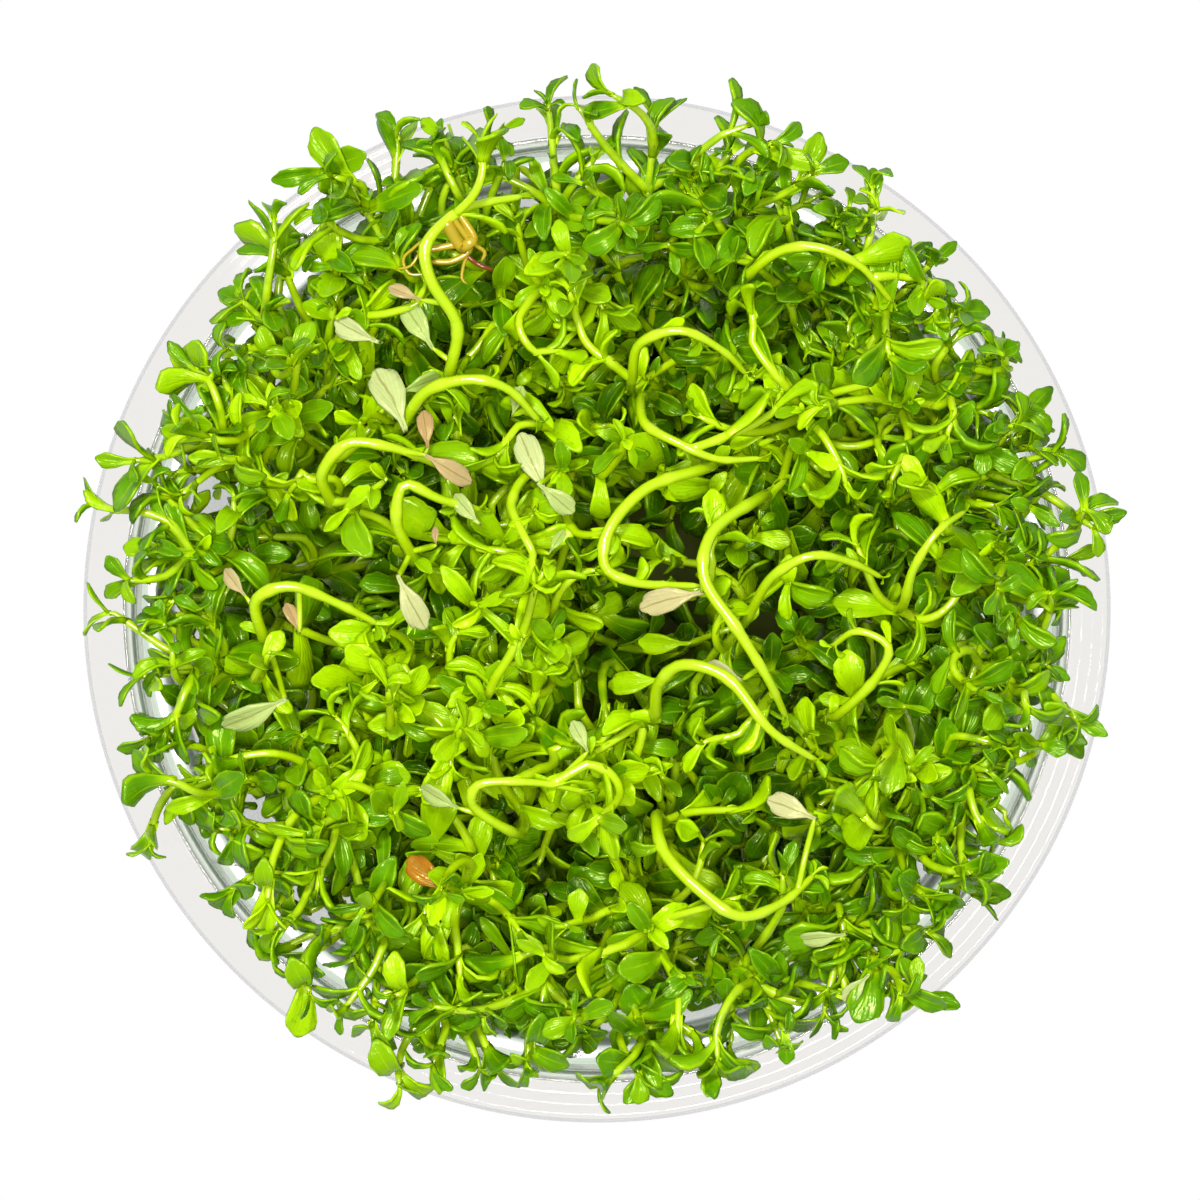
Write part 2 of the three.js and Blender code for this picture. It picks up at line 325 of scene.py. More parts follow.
# Leaf blades: their form in shares of a leaf's length, and how leaves of one form vary.
SPINE_STEPS = 40
BEND_ENDS = 0.85
ROW_CROWDING = 1.6
TIP_ROUNDING = 3.4
TIP_BREADTH = 0.46
TIP_BOW = 0.08
CHANNEL_CURVE = 1.6
BLADE_THICKNESS = 0.07
PAIR_SIZES = (0.85, 1.15)
LEAF_LENGTHS = (0.88, 1.12)
LEAF_BREADTHS = (0.85, 1.12)
LEAF_ROLL = 0.22
LEAF_TURN = 0.22
LEAF_LEAN = (0.05, 0.22)
TONE_SPREAD = 0.26
YOUNG_SIZE = 2.6 * MM

# Stems: the radius of each kind, the swelling at a pair of leaves and the course.
STOUT = 0.58 * MM
SLENDER = 0.49 * MM
SIDE_STEM = (0.50 * MM, 0.37 * MM)
LOW_STEM = (0.55 * MM, 0.4 * MM)
STALK = (0.35 * MM, 0.3 * MM)
TAPER_LENGTH = 12 * MM
NODE_WIDTH = 0.6 * MM
NODE_SWELLING = 0.2
ROUNDED_TIP = (0.8, 0.4)
PATH_STEP = 0.8 * MM
LOW_PATH_STEP = 1.6 * MM
STALK_STEP = 0.5 * MM
ROOT_STEP = 0.4 * MM
CURVE_SHARES = 24
KINK_EVERY = 7
KINK = 0.2

# Heights at which a shoot's course bends, in millimetres, and how far it has leant by then.
COURSE_BENDS = [(28, 0.1), (47, 0.5)]

# Clear room: the deep gap's middle and half widths, the cup's wall, and what lies on top.
GAP = (5.0 * MM, -5.0 * MM, 6.5 * MM, 4.8 * MM)
GAP_FLOOR = 47 * MM
BODY_CLEARANCE = 0.4 * MM
NECK_CLEARANCE = 0.5 * MM
RIM_CLEARANCE = 0.6 * MM
STEM_CLEARANCE = 1.2 * MM
TOP_CLEARANCE = 1 * MM
OPEN_ABOVE = 66 * MM
OPEN_REACH = 1.5 * MM
OPEN_MARGIN = 0.2 * MM

# Pairs of leaves and side shoots. INTERNODES are the gaps between a shoot's top pairs.
INTERNODES = [3.0, 3.6, 4.4, 5.0]
NODE_SHARE = 0.75
BARE_FOOT = 8 * MM
SHADE_TOP = 50 * MM
SHADED_TONE = -0.6
LIGHTEST_LEAF = 0.6
SIDE_SHOOT_FLOOR = 34 * MM
SIDE_TOP_PAIRS = (0.3, 2.4)
SIDE_LEAF = (4.8, 7.0)
SIDE_SPACING = (5.4, 8.2)
MIDDLE_TONE = 0.65
MIDDLE_REACH = 22 * MM
MIDDLE_FADE = 12 * MM
EDGE_TURNS = (-8, 0, 8)
EDGE_BACK = (11, 18)
EDGE_REACH = (40.5, 46)
EDGE_HEIGHT = (62.5, 66)
EAST_SHADE = 0.3
LOW_SHOOT_HEIGHTS = (18, 24, 30, 36, 42)
LOW_LENGTH = (14, 24)
LOW_TOP_PAIRS = (0.3, 2.2)
LOW_LEAVES = (3.5, 5.5, 6.5)
LOW_SPACING = (3.2, 4.2)

# Each kind's tone from dark to light, chance of a side shoot at a leaf, space between pairs,
# full length of a leaf, outward lean of the side shoots, and share of its leaves lost.
HABITS = {
    "runner": (0.80, 0.30, 8 * MM, 3.6 * MM, 0, 0.6),
    "rim": (-0.18, 0.95, 4.4 * MM, 6.2 * MM, 1.1, 0.25),
    "inner": (0.50, 1.0, 4.6 * MM, 6.2 * MM, 0, 0.3),
}
STOUT_SHOOTS = [
    "runner_hook", "runner_long", "runner_south_arch", "runner_crescent", "runner_centre_bow",
    "runner_west_arch", "runner_west_hook", "runner_west_bridge", "runner_low_west",
]

# Tips of the rim shoots: bearing in degrees, then reach and height in millimetres. Each
# passes over the cup's edge at RIM_CROSSING, at least RIM_RUN short of its tip.
RIM_CROSSING = (40, 62)
RIM_RUN = 4
RIM_TIPS = [
    (95.5, 48.9, 66), (83, 47.8, 66), (70, 44.8, 65), (58, 44.2, 64.5), (46, 46.5, 66.5),
    (33, 46.5, 65), (19, 46.9, 66), (6, 42.5, 64.5), (352, 43.2, 64.5), (336.5, 42.3, 64),
    (323, 42.6, 65), (308, 46.5, 65.5), (293, 45.7, 64.5), (276, 45.3, 65), (262, 40.3, 63.5),
    (248, 44.8, 65), (234, 40.4, 64), (219, 39, 64), (204, 43.5, 65.5), (188, 42.4, 64.5),
    (172, 42.7, 65.5), (155, 42.9, 65.5), (139, 45.8, 65.5), (120, 48.2, 66), (108, 48.1, 66),
]

# Tips of the inner shoots, in millimetres. Each stands upright for its last INNER_RISE.
INNER_RISE = 6
INNER_TIPS = [
    (-9, 6.5, 67), (-4, -3, 65.5), (-11, -9, 66), (1, -16, 65), (-19, -9, 66), (-26, -18, 66),
    (-13, -27, 65.5), (5, -31, 65.5), (28, -16, 66.5), (20, 19, 67), (30, 20, 66), (-5, 31, 67),
    (-25, 28, 66.5), (-31, 19, 66), (-3.5, 13.5, 67),
]

# Old leaves: foot in millimetres, bearing in degrees, length in millimetres, and age from
# 0, green, to 1, brown. The last two are green ones that lie deep in the gap.
OLD_LEAVES = [
    (-18.4, 17.3, 69, 132, 7.2, 0.6), (-16.9, 29.6, 70, 168, 3.5, 0.85),
    (-15.8, 25.1, 68, 130, 5.6, 0.55), (-21.1, 25.7, 67, 149, 5.0, 0.62),
    (-18.8, 20.9, 67, 45, 4.4, 0.5), (-8.1, 18.6, 67, 60, 3.2, 0.52),
    (-16.2, 15.4, 69, 103, 4.0, 0.92), (-16.4, 14.7, 72, 334, 5.6, 0.86),
    (-5.0, 11.2, 68, 113, 6.6, 0.62), (-5.6, 12.0, 69, 320, 4.6, 0.56),
    (-11.3, 8.2, 70, 120, 4.0, 0.56), (-15.4, 6.1, 70, 90, 2.0, 0.88),
    (-19.0, 3.1, 70.5, 309, 6.0, 0.68), (-4.6, 5.3, 69, 52, 3.0, 0.5),
    (-28.5, -2.2, 69, 123, 3.3, 0.9), (-33.8, 1.3, 68, 117, 3.6, 0.82),
    (-29.9, -8.7, 69, 203, 7.2, 0.56),
    (10.0, 1.6, 72, 198, 6.6, 0.78), (13.9, -6.8, 70, 144, 4.0, 0.7),
    (-13.4, -19.1, 67, 147, 4.4, 0.55), (20.9, -20.1, 68, 166, 5.2, 0.72),
    (-0.9, -13.7, 69, 118, 3.6, 0.56), (23.8, -31.3, 67, 189, 4.9, 0.56),
    (26.1, -35.2, 67, 210, 3.7, 0.6), (-14.4, -27.3, 66, 126, 5.3, 1.0),
    (6.4, -7.0, 50, 176, 5.6, 0.02), (9.0, -3.4, 52, 160, 5.2, 0.01),
]

# Air roots: thick and thin radius in millimetres, age, and the points that they pass.
ROOTS = [
    (0.42, 0.35, 0.92, (-11.7, 35.1, 71.5), (-14.1, 34.7, 71.0), (-17.2, 34.1, 71.2)),
    (0.38, 0.30, 0.90, (-12.1, 34.5, 71.0), (-13.7, 33.3, 70.8), (-15.9, 33.2, 70.9)),
    (0.80, 0.55, 0.94, (-12.8, 34.5, 71.2), (-12.1, 35.0, 71.8), (-11.4, 35.4, 71.2)),
    (0.20, 0.15, 0.86, (-16.2, 35.5, 71.5), (-17.5, 34.5, 71.0), (-18.5, 33.5, 70.6),
     (-18.0, 32.1, 70.4), (-16.4, 32.0, 70.6)),
    (0.20, 0.14, 0.86, (-16.9, 34.1, 71.0), (-17.8, 32.8, 70.8), (-19.3, 32.5, 70.4)),
    (0.24, 0.16, 0.88, (-12.1, 35.5, 71.0), (-13.3, 36.5, 70.8), (-14.9, 35.9, 71.0)),
    (0.26, 0.16, 0.92, (-12.4, 34.3, 71.0), (-12.8, 32.7, 70.4), (-12.9, 31.5, 70.2),
     (-12.4, 31.1, 70.2)),
    (0.30, 0.20, 0.90, (-11.7, 34.9, 71.2), (-10.7, 34.1, 70.6), (-11.1, 33.2, 70.4)),
    (0.34, 0.24, 1.0, (-12.2, 33.6, 70.6), (-11.1, 32.8, 71.0), (-9.9, 32.4, 70.6)),
]

# The colours that a leaf passes through as it ages.
AGEING = [
    (0.5, (0.27, 0.39, 0.08, 1)), (0.62, (0.38, 0.43, 0.19, 1)), (0.74, (0.41, 0.39, 0.20, 1)),
    (0.85, (0.37, 0.28, 0.14, 1)), (0.93, (0.33, 0.20, 0.09, 1)), (0.99, (0.30, 0.11, 0.006, 1)),
]

# Arching shoots: points in millimetres, from where each rises out of the crowd to its tip.
RUNNERS = {
    "runner_hook": [
        (-14.2, 22.6, 66), (-13.4, 27.2, 70), (-15.9, 31.5, 72.5), (-16.3, 34.6, 73),
        (-13, 38, 72), (-7, 39.6, 69),
    ],
    "runner_west_bridge": [
        (-18.6, 18, 66), (-16, 21, 70.5), (-11.5, 21.9, 72), (-8.5, 21, 71), (-5.5, 18, 68),
    ],
    "runner_centre_bow": [
        (10.5, 13.6, 66), (4.5, 11.4, 70), (1, 7.2, 71.5), (0.8, 4, 71.5), (3.5, 2.6, 71),
        (10, 2.2, 69),
    ],
    "runner_long": [
        (15.5, 10.6, 67), (10.8, 7, 72.5), (10.2, 3, 74), (13.4, -2, 74), (16.2, -6.5, 72.5),
        (18.2, -10.5, 68.5),
    ],
    "runner_south_arch": [
        (5.6, -10.2, 65), (6, -7, 70), (8.2, -5.3, 72.5), (12.2, -6.4, 73.5),
        (16.5, -11.5, 73), (21, -14.5, 70.5),
    ],
    "runner_east_bow": [
        (14.6, -0.8, 64), (17, 3.3, 70.5), (20.5, 5.1, 72), (24, 4.6, 70), (27.5, 3, 67),
    ],
    "runner_crescent": [
        (5.7, -20.4, 66), (6.4, -23.2, 69.5), (10, -27, 71.5), (13.6, -29.3, 71.5),
        (17.8, -28.1, 69), (21, -25.5, 66),
    ],
    "runner_pale": [(29.6, 0.5, 65), (30.4, 4, 69), (32.6, 7.4, 70), (35.5, 9.5, 67)],
    "runner_north_arch": [
        (14.7, 32.3, 66), (17.8, 34.4, 69.5), (21, 34.6, 70.5), (25, 33, 69.5),
        (28.5, 29.5, 66),
    ],
    "runner_small_arch": [
        (3.4, 22.4, 65), (4.2, 25.5, 69.5), (8, 26.6, 71), (12, 24.8, 69), (14.5, 22.5, 66),
    ],
    "runner_middle": [
        (4.2, 20, 64), (4.8, 17.6, 68), (8, 15.8, 69.5), (11.5, 14.4, 69), (16, 14.5, 67),
    ],
    "runner_west_arch": [
        (-25.6, 10.3, 66), (-26.3, 13, 70), (-23.8, 15.8, 71.5), (-19.5, 15.4, 71),
        (-14.5, 13.5, 67.5),
    ],
    "runner_west_hook": [
        (-17.9, 5.3, 66), (-19.2, 8.6, 70), (-18.4, 11.9, 71), (-15.2, 10.6, 70),
        (-11, 9.5, 66.5),
    ],
    "runner_low_west": [
        (-32.2, -2.6, 65), (-32.6, 1, 69), (-29.5, 2.2, 70), (-25, 0.6, 68.5), (-21, -1.5, 66),
    ],
    "runner_south_west": [
        (-8, -21.6, 65), (-12, -18.6, 69), (-11.5, -16.9, 70), (-6, -16.6, 69.5),
        (-1, -17.6, 67),
    ],
    "runner_east_hook": [
        (23.3, -10.2, 64), (26.9, -6.4, 68.5), (27.9, -3.6, 70), (25, -2.1, 70),
        (22.5, -3.6, 67.5),
    ],
}


def smoothstep(value):
    value = min(max(value, 0.0), 1.0)
    return value * value * (3 - 2 * value)


def unit(vector):
    vector = np.asarray(vector)
    return vector / np.linalg.norm(vector)


def smooth_path(points, step):
    """Evenly spaced points on the centripetal curve through the given ones."""
    ends = [2 * points[0] - points[1], *points, 2 * points[-1] - points[-2]]
    dense = []
    for before, start, stop, after in zip(ends, ends[1:], ends[2:], ends[3:]):
        gaps = [math.sqrt(np.linalg.norm(b - a)) for a, b in
                ((before, start), (start, stop), (stop, after))]
        leave = ((start - before) / gaps[0] - (stop - before) / (gaps[0] + gaps[1])
                 + (stop - start) / gaps[1]) * gaps[1]
        arrive = ((stop - start) / gaps[1] - (after - start) / (gaps[1] + gaps[2])
                  + (after - stop) / gaps[2]) * gaps[1]
        for share in np.linspace(0, 1, CURVE_SHARES, endpoint=False):
            square, cube = share**2, share**3
            dense.append(start * (2 * cube - 3 * square + 1) + leave * (cube - 2 * square + share)
                         + stop * (3 * square - 2 * cube) + arrive * (cube - square))
    dense.append(points[-1])
    dense = np.array(dense)
    travelled = np.concatenate([[0], np.cumsum(np.linalg.norm(np.diff(dense, axis=0), axis=1))])
    count = max(2, round(travelled[-1] / step))
    even = np.linspace(0, travelled[-1], count + 1)
    return np.stack([np.interp(even, travelled, dense[:, axis]) for axis in range(3)], axis=1)


class Stem:
    """A path with its directions, so that a leaf or side shoot can leave it anywhere."""

    def __init__(self, points):
        self.points = points
        self.tangents = np.gradient(points, axis=0)
        self.tangents /= np.linalg.norm(self.tangents, axis=1)[:, None]
        self.spacing = np.linalg.norm(points[1] - points[0])
        self.length = self.spacing * (len(points) - 1)
        axis = np.eye(3)[np.argmin(np.abs(self.tangents[0]))]
        side = np.cross(self.tangents[0], np.cross(self.tangents[0], axis))
        self.sides = []
        for tangent in self.tangents:
            side = side - tangent * side.dot(tangent)
            side = side / np.linalg.norm(side)
            self.sides.append(side)
        self.sides = np.array(self.sides)

    def nearest(self, goal):
        """The distance to a goal and the point's distance back from the tip."""
        gaps = np.linalg.norm(self.points - goal, axis=1)
        index = int(np.argmin(gaps))
        return gaps[index], self.length - index * self.spacing

    def at(self, back):
        """The point, direction and side at a distance back from the tip."""
        place = np.clip((self.length - back) / self.spacing, 0, len(self.points) - 1)
        low = min(int(place), len(self.points) - 2)
        share = place - low
        found = [lines[low] * (1 - share) + lines[low + 1] * share
                 for lines in (self.points, self.tangents, self.sides)]
        return found[0], found[1] / np.linalg.norm(found[1]), found[2]


def leaf_form(breadth, fold, leave, arrive, twist=0.0, foot=0.42, neck=0.55, shoulder=0.6,
              rows=6, columns=4):
    """A leaf one unit long: its points, faces and, for each point, across and along."""
    bm = bmesh.new()
    bmesh.ops.create_grid(bm, x_segments=columns, y_segments=rows, size=0.5)
    steps = SPINE_STEPS
    turns = [smoothstep(passed / steps / BEND_ENDS) for passed in range(steps + 1)]
    angles = [leave + (arrive - leave) * turn for turn in turns]
    spine = [(0.0, 0.0)]
    for angle in angles[:-1]:
        out, up = spine[-1]
        spine.append((out + math.sin(angle) / steps, up + math.cos(angle) / steps))
    flat = []
    for vert in bm.verts:
        across = 2 * vert.co.x
        along = 1 - (1 - (vert.co.y + 0.5)) ** ROW_CROWDING
        widen = foot + (1 - foot) * smoothstep((along - 0.25 * neck) / neck)
        tip_share = max(0.0, (along - shoulder) / (1 - shoulder))
        blunt = math.sqrt(max(0.0, 1 - tip_share**TIP_ROUNDING))
        half = 0.5 * breadth * widen * max(blunt, TIP_BREADTH)
        place = along - TIP_BOW * across**2 * smoothstep((along - 0.7) / 0.3)
        index = min(int(max(place, 0) * steps), steps - 1)
        part = max(place, 0) * steps - index
        out = spine[index][0] * (1 - part) + spine[index + 1][0] * part
        up = spine[index][1] * (1 - part) + spine[index + 1][1] * part
        angle = angles[index]
        lift = half * fold * abs(across) ** CHANNEL_CURVE * (1.5 - 0.9 * along)
        lift += twist * half * across * smoothstep(along)
        vert.co = (half * across, out - lift * math.cos(angle), up + lift * math.sin(angle))
        flat.append((vert.co.copy(), (across, along)))
    bmesh.ops.solidify(bm, geom=list(bm.faces), thickness=BLADE_THICKNESS)
    bmesh.ops.recalc_face_normals(bm, faces=bm.faces)
    points = np.array([vert.co[:] for vert in bm.verts])
    surface = [min(flat, key=lambda known: (known[0] - vert.co).length)[1] for vert in bm.verts]
    bm.verts.index_update()
    faces = np.array([[vert.index for vert in face.verts] for face in bm.faces])
    bm.free()
    return points, faces, np.array(surface)


rad = math.radians
GROWN_LEAVES = [
    leaf_form(0.42, 0.50, rad(26), rad(62), shoulder=0.52),
    leaf_form(0.36, 0.65, rad(20), rad(84), 0.35, shoulder=0.5),
    leaf_form(0.45, 0.35, rad(30), rad(56), -0.3, shoulder=0.62),
    leaf_form(0.34, 0.80, rad(24), rad(104), 0.2, shoulder=0.45),
    leaf_form(0.47, 0.35, rad(26), rad(78), -0.5, shoulder=0.66),
    leaf_form(0.35, 0.50, rad(28), rad(40), 0.4, shoulder=0.5),
    leaf_form(0.38, 0.35, rad(16), rad(122), -0.2, shoulder=0.55),
    leaf_form(0.30, 0.70, rad(34), rad(70), 0.6, neck=0.8, shoulder=0.45),
]
OLD_FORMS = [
    leaf_form(0.38, 0.35, rad(40), rad(66), 0.4, foot=0.16, neck=0.42, shoulder=0.6, rows=9),
    leaf_form(0.42, 0.45, rad(44), rad(60), -0.3, foot=0.16, neck=0.46, shoulder=0.65, rows=9),
]
YOUNG_LEAVES = [
    leaf_form(0.46, 0.55, rad(14), rad(44), rows=5),
    leaf_form(0.48, 0.40, rad(20), rad(64), 0.3, rows=5),
    leaf_form(0.42, 0.45, rad(24), rad(84), -0.3, rows=5),
]
SHADED_LEAVES = [
    leaf_form(0.46, 0.30, rad(40), rad(86), rows=4, columns=2),
    leaf_form(0.42, 0.45, rad(30), rad(70), 0.4, rows=4, columns=2),
]


class Growth:
    """Everything that one piece is grown from, joined into a mesh at the end."""

    def __init__(self, seed):
        self.random = random.Random(seed)
        self.points = []
        self.faces = []
        self.facts = []
        self.ages = []
        self.total = 0
        self.leaf_faces = []

    def join(self, points, faces, facts, age, is_leaf):
        self.points.append(points)
        self.faces += (faces + self.total).tolist()
        self.leaf_faces += [int(is_leaf)] * len(faces)
        self.facts.append(facts)
        self.ages.append(np.full(len(points), age))
        self.total += len(points)

    def stem(self, path, thick, thin, nodes=(), tone=0.5, age=0.0, sides=8):
        """A round stem that thins towards its tip and swells at its nodes."""
        back = path.length - path.spacing * np.arange(len(path.points))
        radius = thin + (thick - thin) * np.minimum(back / TAPER_LENGTH, 1.0)
        swelling = np.zeros(len(back))
        for node in nodes:
            swelling += np.exp(-(((back - node) / NODE_WIDTH) ** 2))
        radius = radius * (1 + NODE_SWELLING * swelling)
        radius[-2:] *= ROUNDED_TIP
        angles = np.arange(sides) * math.tau / sides
        across = np.cross(path.tangents, path.sides)
        ring = np.cos(angles)[None, :, None] * path.sides[:, None, :]
        ring = ring + np.sin(angles)[None, :, None] * across[:, None, :]
        tube = path.points[:, None, :] + ring * radius[:, None, None]
        ends = np.array([path.points[0], path.points[-1]])
        points = np.concatenate([tube.reshape(-1, 3), ends])
        low = np.arange(len(back) - 1)[:, None] * sides + np.arange(sides)[None, :]
        turn = np.arange(len(back) - 1)[:, None] * sides + (np.arange(sides)[None, :] + 1) % sides
        walls = np.stack([low, turn, turn + sides, low + sides], axis=2).reshape(-1, 4)
        first, last = len(points) - 2, len(points) - 1
        around = np.arange(sides)
        after = (around + 1) % sides
        top = (len(back) - 1) * sides
        facts = np.zeros((len(points), 3))
        facts[:-2, 0] = np.repeat(swelling, sides)
        facts[:-2, 1] = np.repeat(back / MM, sides)
        facts[:, 2] = tone
        start = self.total
        self.join(points, walls, facts, age, False)
        caps = [[first + start, b + start, a + start] for a, b in zip(around, after)]
        caps += [[last + start, a + top + start, b + top + start] for a, b in zip(around, after)]
        self.faces += caps
        self.leaf_faces += [0] * len(caps)

    def leaf(self, start, tangent, out, length, forms, tone, age=0.0):
        """A leaf that leaves the stem at start, rolled a little about its own length."""
        chance = self.random
        out = unit(out - tangent * out.dot(tangent))
        wide = np.cross(out, tangent)
        roll = chance.gauss(0, LEAF_ROLL)
        wide, raised = (
            wide * math.cos(roll) + tangent * math.sin(roll),
            tangent * math.cos(roll) - wide * math.sin(roll),
        )
        turn = np.column_stack([wide * chance.uniform(*LEAF_BREADTHS), out, raised]) * length
        points, faces, surface = chance.choice(forms)
        points = points @ turn.T + start
        middle, tip = points.mean(axis=0), points[np.argmax(surface[:, 1])]
        crowds = age == 0 and (in_gap(middle) or in_gap(tip) or covers_open([middle, tip]))
        if not crowds and inside_wall(tip) and points[:, 2].max() < CANOPY_TOP:
            facts = np.column_stack([surface, np.full(len(points), tone)])
            self.join(points, faces, facts, age, True)

    def mesh(self, name):
        mesh = bpy.data.meshes.new(name)
        mesh.from_pydata(np.concatenate(self.points).tolist(), [], self.faces)
        facts = mesh.attributes.new("growth", "FLOAT_VECTOR", "POINT")
        facts.data.foreach_set("vector", np.concatenate(self.facts).ravel())
        ages = mesh.attributes.new("age", "FLOAT", "POINT")
        ages.data.foreach_set("value", np.concatenate(self.ages))
        mesh.polygons.foreach_set("material_index", self.leaf_faces)
        return mesh


def inside_wall(point):
    """True where a point is clear of the cup's wall and lip."""
    reach = math.hypot(point[0], point[1])
    if point[2] < LEDGE_HEIGHT:
        return reach < inner_radius(point[2]) - BODY_CLEARANCE
    in_neck = reach < NECK_RADIUS - WALL - NECK_CLEARANCE
    return in_neck or point[2] > CUP_HEIGHT + RIM_CLEARANCE


def in_gap(point):
    """True inside the deep gap that shows in the middle of the plants."""
    away = ((point[0] - GAP[0]) / GAP[2]) ** 2 + ((point[1] - GAP[1]) / GAP[3]) ** 2
    return away < 1 and point[2] > GAP_FLOOR


def covers_open(points):
    """True where a point would hide an arch, an old leaf or a root that lies on top."""
    for point in points:
        away = np.hypot(open_points[:, 0] - point[0], open_points[:, 1] - point[1])
        if ((away < OPEN_REACH) & (open_points[:, 2] < point[2] + OPEN_MARGIN)).any():
            return True
    return False


def kept_inside(points):
    """The path with its points pulled in to stay inside the cup's wall, below the top."""
    points = points.copy()
    points[:, 2] = np.minimum(points[:, 2], CANOPY_TOP - TOP_CLEARANCE)
    for point in points:
        reach = math.hypot(point[0], point[1])
        limit = inner_radius(min(point[2], LEDGE_HEIGHT)) - STEM_CLEARANCE
        if point[2] < CUP_HEIGHT + TOP_CLEARANCE and reach > limit:
            point[:2] *= limit / reach
    return points


def grow_leaves(growth, path, twist, pairs, sizes, tone, loss=0.3):
    """Crossed leaf pairs at the given distances back from the tip, some of them lost."""
    chance = growth.random
    for pair, back in enumerate(pairs):
        start, tangent, side = path.at(back)
        across = np.cross(tangent, side)
        size = sizes[min(pair, len(sizes) - 1)] * chance.uniform(*PAIR_SIZES)
        chosen = YOUNG_LEAVES if size < YOUNG_SIZE else GROWN_LEAVES
        if start[2] < SHADE_TOP:
            chosen = SHADED_LEAVES
        for half in (0, math.pi):
            if pair > 1 and chance.random() < loss:
                continue
            bearing = twist + pair * math.pi / 2 + half + chance.gauss(0, LEAF_TURN)
            out = side * math.cos(bearing) + across * math.sin(bearing)
            lean = unit(tangent + out * chance.gauss(*LEAF_LEAN))
            length = size * chance.uniform(*LEAF_LENGTHS)
            growth.leaf(start, lean, out, length, chosen, tone + chance.gauss(0, TONE_SPREAD))


def wander(chance, start, first, last, length, curl, step=PATH_STEP):
    """A curved course that sets out one way and turns towards another."""
    steps = max(5, round(length / step))
    axis = unit([chance.gauss(0, 1) for _ in range(3)])
    points = [start]
    heading = unit(first)
    kink = np.zeros(3)
    for passed in range(steps):
        share = smoothstep(passed / steps)
        if passed % KINK_EVERY == KINK_EVERY - 2:
            kink = np.array([chance.gauss(0, KINK) for _ in range(3)])
        turned_to = first * (1 - share) + last * share + np.cross(axis, heading) * curl * share
        heading = unit(turned_to + kink)
        points.append(points[-1] + heading * length / steps)
    return Stem(kept_inside(np.array(points)))


def grow_side_shoot(growth, path, back, bearing, length, tone, outward):
    """A side shoot out of a leaf axil, lying over its neighbours or turning up."""
    chance = growth.random
    start, tangent, side = path.at(back)
    out = side * math.cos(bearing) + np.cross(tangent, side) * math.sin(bearing)
    first = unit(out * 0.7 + tangent * 0.7)
    last = unit([chance.gauss(0, 0.9), chance.gauss(0, 0.9), chance.uniform(0.0, 1.2)])
    last = unit(last + outward * np.array([start[0], start[1], 0]) / LIP_RADIUS)
    branch = wander(chance, start, first, last, length, chance.uniform(-1.0, 1.0))
    if any(in_gap(point) for point in branch.points) or covers_open(branch.points[5:]):
        return
    if np.hypot(branch.points[:, 0], branch.points[:, 1]).max() > FRINGE_REACH:
        return
    reach = math.hypot(branch.points[-1][0], branch.points[-1][1])
    middle_tone = MIDDLE_TONE * (1 - smoothstep((reach - MIDDLE_REACH) / MIDDLE_FADE))
    dress(growth, branch, max(tone, middle_tone))


def dress(growth, branch, tone):
    """The stem of a side shoot with its leaves, which are smaller towards the tip."""
    chance = growth.random
    pairs = [back * MM for back in SIDE_TOP_PAIRS]
    while pairs[-1] + SIDE_SPACING[0] * MM < branch.length:
        pairs.append(pairs[-1] + chance.uniform(*SIDE_SPACING) * MM)
    full = chance.uniform(*SIDE_LEAF) * MM
    sizes = [0.58 * full, 0.9 * full, full]
    growth.stem(branch, *SIDE_STEM, pairs[2:], tone + 0.3, sides=6)
    grow_leaves(growth, branch, chance.uniform(0, math.pi), pairs, sizes, tone)


def grow_edge_shoot(growth, path, back, turn, reach, height, tone):
    """A side shoot that leaves a rim shoot below its tip and ends beside it on the rim."""
    start, tangent, _ = path.at(back)
    tip = path.points[-1]
    bearing = math.atan2(tip[1], tip[0]) + turn
    goal = np.array([reach * math.cos(bearing), reach * math.sin(bearing), height])
    middle = start + tangent * 0.3 * np.linalg.norm(goal - start)
    middle = (middle + start * 0.4 + goal * 0.6) / 2 + np.array([0, 0, 1.2 * MM])
    branch = Stem(kept_inside(smooth_path([start, middle, goal], PATH_STEP)))
    dress(growth, branch, tone + growth.random.uniform(-0.35, 0.25))


def grow_low_shoot(growth, path, start_height):
    """A side shoot low in the cup, with larger leaves; its stem and leaves are painted dark, a
    painted shade.
    """
    chance = growth.random
    back = path.length - (start_height - path.points[0][2])
    start, tangent, side = path.at(back)
    angle = chance.uniform(0, math.tau)
    out = np.array([math.cos(angle), math.sin(angle), 0.6])
    last = unit([chance.gauss(0, 0.5), chance.gauss(0, 0.5), 1.0])
    length = chance.uniform(*LOW_LENGTH) * MM
    branch = wander(chance, start, out, last, length, chance.uniform(-0.5, 0.5), LOW_PATH_STEP)
    pairs = [back * MM for back in LOW_TOP_PAIRS]
    while pairs[-1] + LOW_SPACING[1] * MM < branch.length:
        pairs.append(pairs[-1] + chance.uniform(*LOW_SPACING) * MM)
    sizes = [size * MM for size in LOW_LEAVES]
    # Painted shade: the low shoot's stem and leaves take dark tones.
    growth.stem(branch, *LOW_STEM, tone=-0.1, sides=5)
    grow_leaves(growth, branch, angle, pairs, sizes, SHADED_TONE)


def grow_old_leaf(growth, path, goal, bearing, length, age):
    """An old leaf that has lost its green, on a short stalk from the nearest stem."""
    chance = growth.random
    gap, back = path.nearest(goal)
    start = path.at(min(back + 0.5 * gap, path.length))[0]
    middle = (start + goal) / 2 - np.array([0, 0, 0.2 * gap])
    stalk = Stem(smooth_path([start, middle, goal], STALK_STEP))
    growth.stem(stalk, *STALK, tone=0.7, sides=6)
    out = np.array([math.cos(bearing), math.sin(bearing), 0.0])
    rise = unit([chance.gauss(0, 0.1), chance.gauss(0, 0.1), 1.0])
    growth.leaf(goal, unit(rise * 0.6 + out * 0.8), out, length, OLD_FORMS, 0.8, age)


